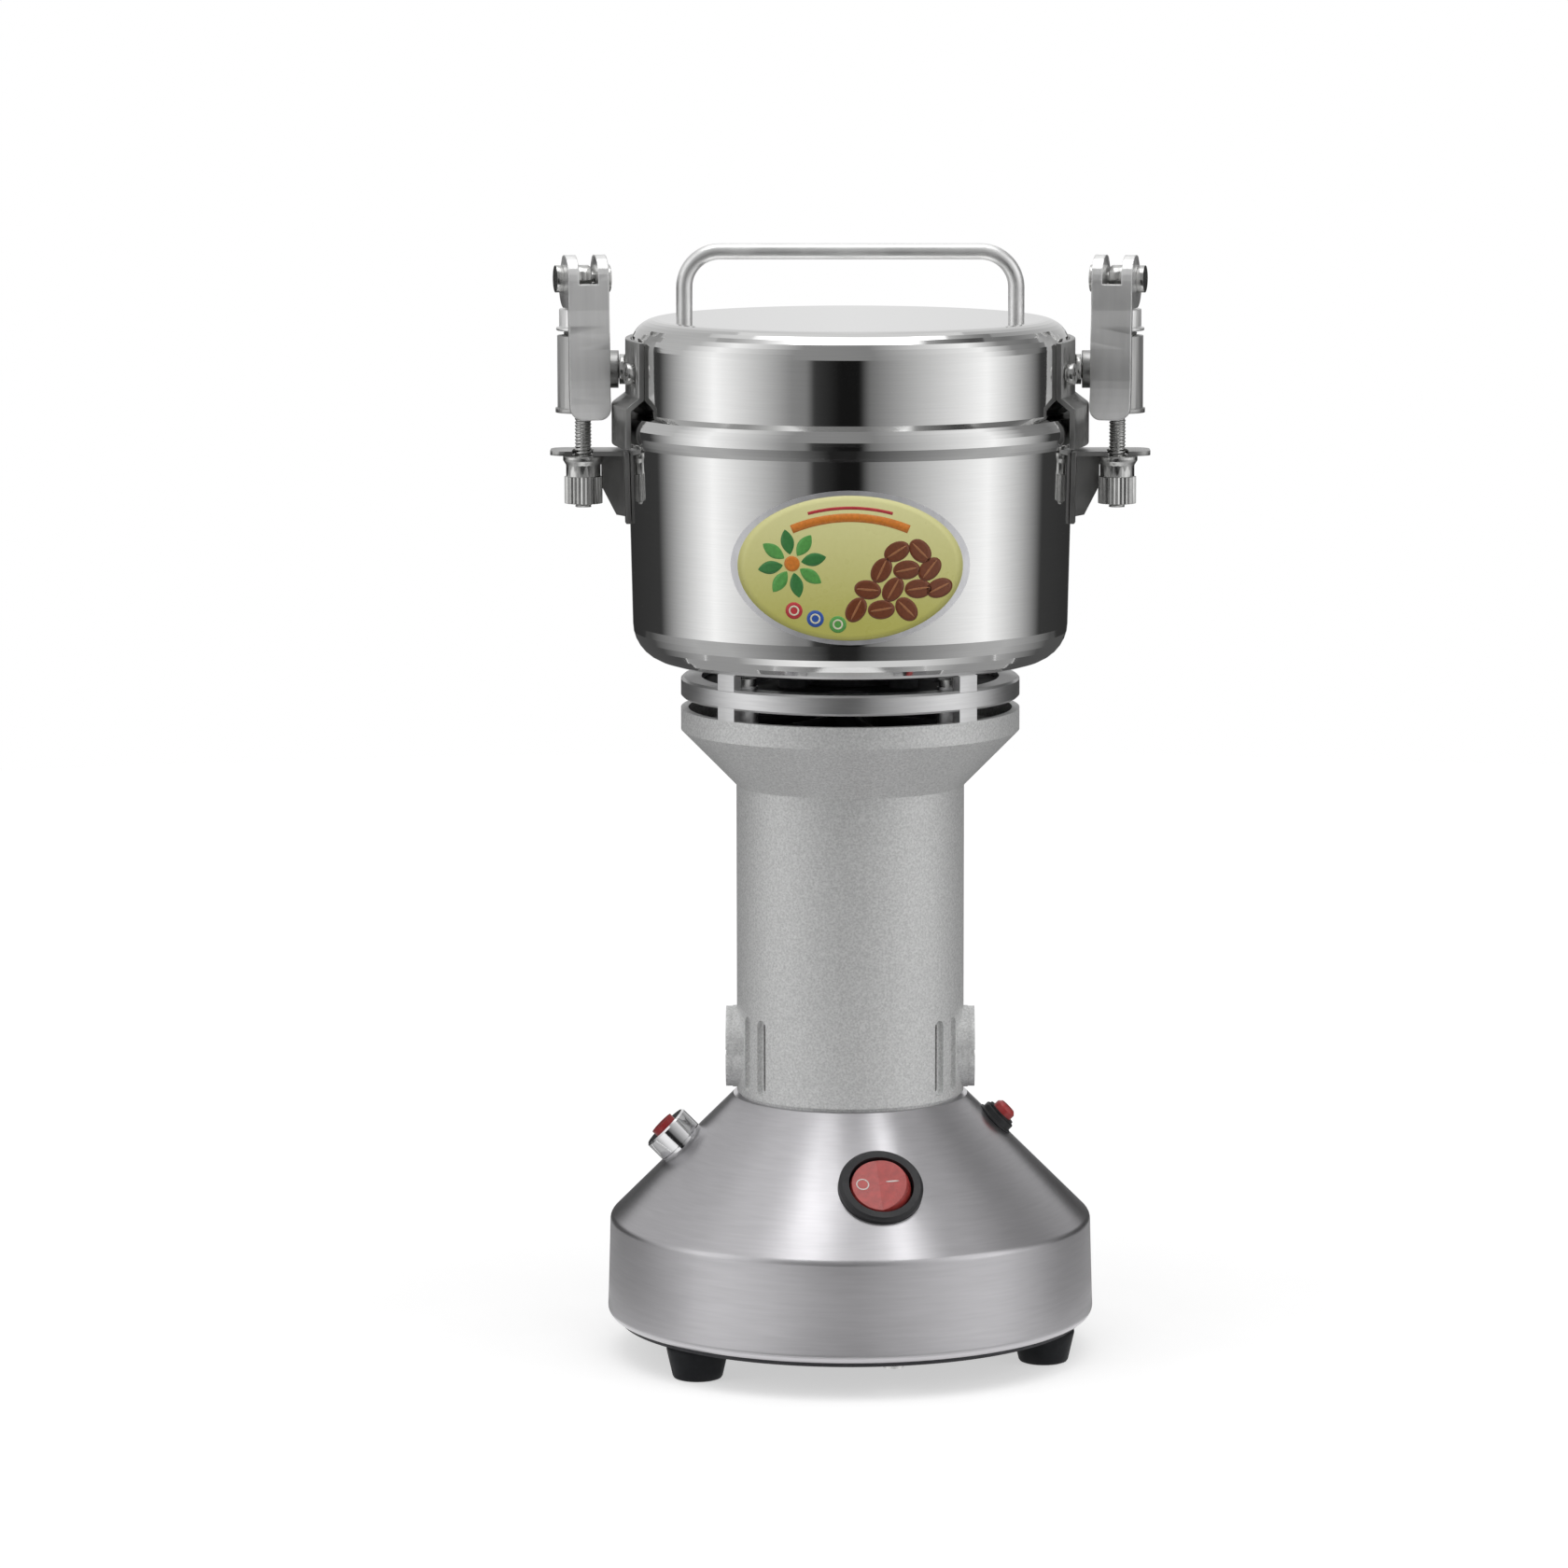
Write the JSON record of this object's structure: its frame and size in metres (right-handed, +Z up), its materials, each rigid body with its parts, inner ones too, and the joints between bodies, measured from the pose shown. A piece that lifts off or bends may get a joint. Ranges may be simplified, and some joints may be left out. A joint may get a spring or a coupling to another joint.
{
  "type": "electric grinder",
  "caption": "Table-top electric coffee and dry-goods grinder: blade bowl on a motor column and round base, with a handled lid held by cam-lever clamps.",
  "frame": {"origin": "on the table under the motor axis, at the bottom of the feet", "axes": "+Z up along the motor axis, front with the rocker switch at -Y, clamps at -X and +X"},
  "size_m": [0.1594, 0.1329, 0.2986],
  "materials": {
    "brushed_base": "brushed round the axis",
    "dark_sheet": "matt",
    "foot_rubber": "matt moulded",
    "fastener_steel": "plated",
    "black_plastic": "fine moulded grain",
    "red_rocker": "translucent gloss",
    "chrome_ring": "polished",
    "red_cap": "gloss",
    "red_reset": "translucent gloss",
    "silver_paint": "fine blasted silver paint",
    "lamination": "varnished laminations",
    "copper": "enamelled copper",
    "shaft_steel": "ground",
    "fan_plastic": "moulded",
    "satin_aluminium": "satin turned",
    "brass": "plain",
    "carbon": "pressed carbon",
    "spring_steel": "drawn wire",
    "stainless_steel": "polished and finely brushed",
    "seal_rubber": "smooth",
    "blade_steel": "ground",
    "clamp_steel": "bright pressed sheet",
    "plated_rod": "bright plated",
    "handle_steel": "polished wire",
    "label": "printed foil"
  },
  "bodies": {
    "root": {"base_shell": "brushed_base", "bottom_plate": "dark_sheet", "feet": "foot_rubber", "casing_screws": "fastener_steel", "switch_housing": "black_plastic", "pulse_housing": "chrome_ring", "breaker_body": "black_plastic", "breaker_nut": "black_plastic", "cord_gland": "black_plastic", "motor_housing": "silver_paint", "stator_core": "lamination", "field_coils": "copper", "upper_bearing": "shaft_steel", "lower_bearing": "shaft_steel", "cooling_frame": "satin_aluminium", "bearing_bridge": "dark_sheet", "frame_screws": "fastener_steel", "brush_caps": "silver_paint", "brush_holders": "brass", "carbon_brushes": "carbon", "brush_springs": "spring_steel", "grinding_bowl": "stainless_steel", "bowl_screws": "fastener_steel", "shaft_seal": "seal_rubber", "hook_left": "clamp_steel", "hook_right": "clamp_steel", "bowl_label": "label", "lid_shell": "stainless_steel", "lid_seal": "seal_rubber", "lid_handle": "handle_steel", "lid_bracket_left": "clamp_steel", "lid_bracket_right": "clamp_steel", "bracket_screws": "fastener_steel", "pivot_rivets": "fastener_steel"},
    "rotor": {"motor_shaft": "shaft_steel", "armature_core": "lamination", "armature_windings": "copper", "commutator": "copper", "cooling_fan": "fan_plastic", "blade_lower": "blade_steel", "blade_middle": "blade_steel", "blade_upper": "blade_steel", "blade_nut": "fastener_steel"},
    "rocker": {"rocker": "red_rocker"},
    "pulse_button": {"pulse_button": "red_cap"},
    "reset_button": {"reset_button": "red_reset"},
    "clamp_left": {"clamp_sleeve_left": "clamp_steel", "clamp_spring_left": "spring_steel", "clamp_hat_left": "clamp_steel"},
    "rod_left": {"clamp_rod_left": "plated_rod"},
    "lever_left": {"clamp_lever_left": "clamp_steel", "clamp_pin_left": "fastener_steel"},
    "nut_left": {"clamp_nut_left": "plated_rod"},
    "clamp_right": {"clamp_sleeve_right": "clamp_steel", "clamp_spring_right": "spring_steel", "clamp_hat_right": "clamp_steel"},
    "rod_right": {"clamp_rod_right": "plated_rod"},
    "lever_right": {"clamp_lever_right": "clamp_steel", "clamp_pin_right": "fastener_steel"},
    "nut_right": {"clamp_nut_right": "plated_rod"}
  },
  "joints": [
    {"name": "blade_spin", "type": "hinge", "parent": "root", "child": "rotor", "pos_m": [0, 0, 0.2], "axis": [0, 0, 1], "continuous": true},
    {"name": "rocker_tilt", "type": "hinge", "parent": "root", "child": "rocker", "pos_m": [0.00779, -0.04653, 0.05231], "axis": [0.1167, -0.6974, -0.7071], "range_deg": [-18, 0]},
    {"name": "pulse_press", "type": "slide", "parent": "root", "child": "pulse_button", "axis": [0.7071, 0, -0.7071], "range_m": [0, 0.001], "stiffness_N_per_m": 300},
    {"name": "reset_trip", "type": "slide", "parent": "root", "child": "reset_button", "axis": [0.7071, 0, 0.7071], "range_m": [0, 0.003]},
    {"name": "clamp_swing_left", "type": "hinge", "parent": "root", "child": "clamp_left", "pos_m": [-0.071, 0, 0.26524], "axis": [-1, 0, 0], "range_deg": [0, 33]},
    {"name": "rod_drop_left", "type": "slide", "parent": "clamp_left", "child": "rod_left", "axis": [0, 0, -1], "range_m": [0, 0.0038]},
    {"name": "lever_left", "type": "hinge", "parent": "rod_left", "child": "lever_left", "pos_m": [-0.071, 0, 0.28924], "axis": [-0.9744, -0.225, 0], "range_deg": [0, 120]},
    {"name": "nut_turn_left", "type": "hinge", "parent": "rod_left", "child": "nut_left", "pos_m": [-0.071, 0, 0.24], "axis": [0, 0, 1], "continuous": true},
    {"name": "clamp_swing_right", "type": "hinge", "parent": "root", "child": "clamp_right", "pos_m": [0.071, 0, 0.26524], "axis": [-1, 0, 0], "range_deg": [0, 33]},
    {"name": "rod_drop_right", "type": "slide", "parent": "clamp_right", "child": "rod_right", "axis": [0, 0, -1], "range_m": [0, 0.0038]},
    {"name": "lever_right", "type": "hinge", "parent": "rod_right", "child": "lever_right", "pos_m": [0.071, 0, 0.28924], "axis": [-0.9744, 0.225, 0], "range_deg": [0, 120]},
    {"name": "nut_turn_right", "type": "hinge", "parent": "rod_right", "child": "nut_right", "pos_m": [0.071, 0, 0.24], "axis": [0, 0, 1], "continuous": true}
  ],
  "couplings": [
    {"joint": "lever_left", "follows": "rod_drop_left", "rad_per_m": 551.16},
    {"joint": "clamp_swing_left", "follows": "rod_drop_left", "rad_per_m": 151.57},
    {"joint": "lever_right", "follows": "rod_drop_right", "rad_per_m": 551.16},
    {"joint": "clamp_swing_right", "follows": "rod_drop_right", "rad_per_m": 151.57}
  ]
}
